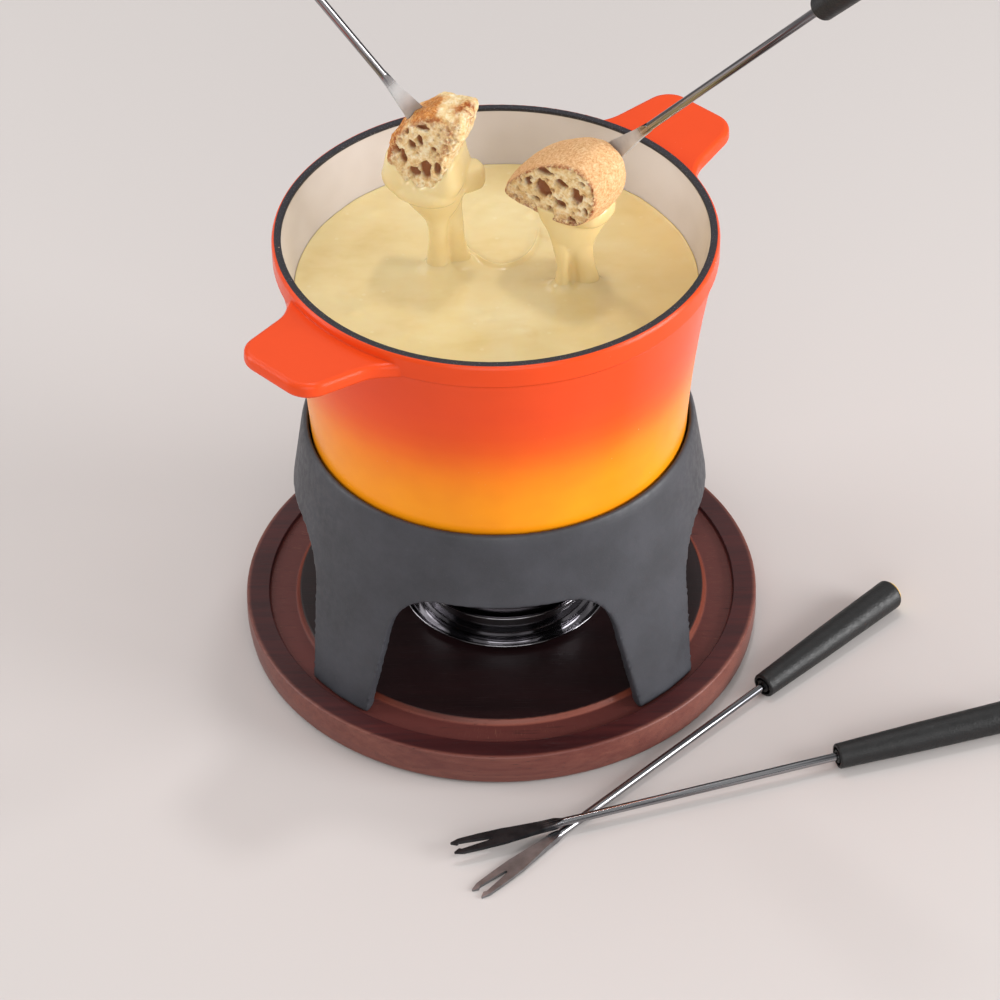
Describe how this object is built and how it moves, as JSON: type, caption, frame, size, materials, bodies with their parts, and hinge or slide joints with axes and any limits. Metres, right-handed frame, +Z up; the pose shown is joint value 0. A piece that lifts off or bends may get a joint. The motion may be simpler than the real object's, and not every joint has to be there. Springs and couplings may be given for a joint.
{
  "type": "fondue pot set",
  "caption": "Enamelled cast-iron fondue pot on a cast stand with a spirit burner, a round wooden base and long two-tined forks.",
  "frame": {"origin": "centre of the wooden base's underside, on the surface the set stands on", "axes": "+Z up along the pot's axis; -Y towards the front, where the two loose forks lie; +X to the right"},
  "size_m": [0.4005, 0.3115, 0.4925],
  "materials": {
    "mahogany": "semi-matt lacquered dark mahogany, worn lighter in the groove",
    "cast_iron": "matt charcoal enamel on cast iron",
    "enamel": "glossy vitreous enamel, red-orange fading to amber yellow at the bottom, cream inside, bare iron rim",
    "stainless": "polished stainless steel sheet",
    "wick": "white absorbent fibre pad",
    "gauze": "fine woven steel gauze",
    "black_plastic": "black fine-textured moulded plastic",
    "fork_steel": "polished stainless steel",
    "cap_yellow": "yellow moulded plastic",
    "cap_red": "red moulded plastic",
    "cap_blue": "blue moulded plastic",
    "cap_green": "green moulded plastic",
    "cheese": null,
    "bread": null
  },
  "bodies": {
    "base": {"wooden_base": "mahogany"},
    "stand": {"cast_stand": "cast_iron"},
    "burner": {"burner_tray": "stainless", "burner_shell": "stainless", "fuel_cup": "stainless", "absorbent_pad": "wick", "burner_gauze": "gauze", "burner_band": "stainless", "burner_lid": "stainless"},
    "regulator": {"regulator_shutter": "stainless", "regulator_lever": "stainless", "regulator_knob": "black_plastic"},
    "pot": {"cast_pot": "enamel", "melted_cheese": "cheese"},
    "fork_1": {"fork_1_steel": "fork_steel", "fork_1_grip": "black_plastic", "fork_1_cap": "cap_yellow"},
    "fork_2": {"fork_2_steel": "fork_steel", "fork_2_grip": "black_plastic", "fork_2_cap": "cap_red"},
    "fork_3": {"fork_3_steel": "fork_steel", "fork_3_grip": "black_plastic", "fork_3_cap": "cap_blue", "bread_left": "bread"},
    "fork_4": {"fork_4_steel": "fork_steel", "fork_4_grip": "black_plastic", "fork_4_cap": "cap_green", "bread_right": "bread"}
  },
  "joints": [
    {"name": "stand_lift", "type": "slide", "parent": "base", "child": "stand", "axis": [0, 0, 1], "range_m": [0, 0.12]},
    {"name": "pot_lift", "type": "slide", "parent": "stand", "child": "pot", "axis": [0, 0, 1], "range_m": [0, 0.12]},
    {"name": "burner_slide", "type": "slide", "parent": "base", "child": "burner", "axis": [0, -1, 0], "range_m": [0, 0.18]},
    {"name": "regulator_turn", "type": "hinge", "parent": "burner", "child": "regulator", "pos_m": [0.002, 0, 0.036], "axis": [0, 0, 1], "range_deg": [0, 22.5]},
    {"name": "fork_1_lift", "type": "slide", "parent": "base", "child": "fork_1", "axis": [0, 0, 1], "range_m": [0, 0.1]},
    {"name": "fork_2_lift", "type": "slide", "parent": "fork_1", "child": "fork_2", "axis": [0, 0, 1], "range_m": [0, 0.1]},
    {"name": "fork_3_pull", "type": "slide", "parent": "pot", "child": "fork_3", "axis": [-0.4959, -0.1497, 0.8554], "range_m": [0, 0.08]},
    {"name": "fork_4_pull", "type": "slide", "parent": "pot", "child": "fork_4", "axis": [0.4883, -0.465, 0.7385], "range_m": [0, 0.08]}
  ]
}
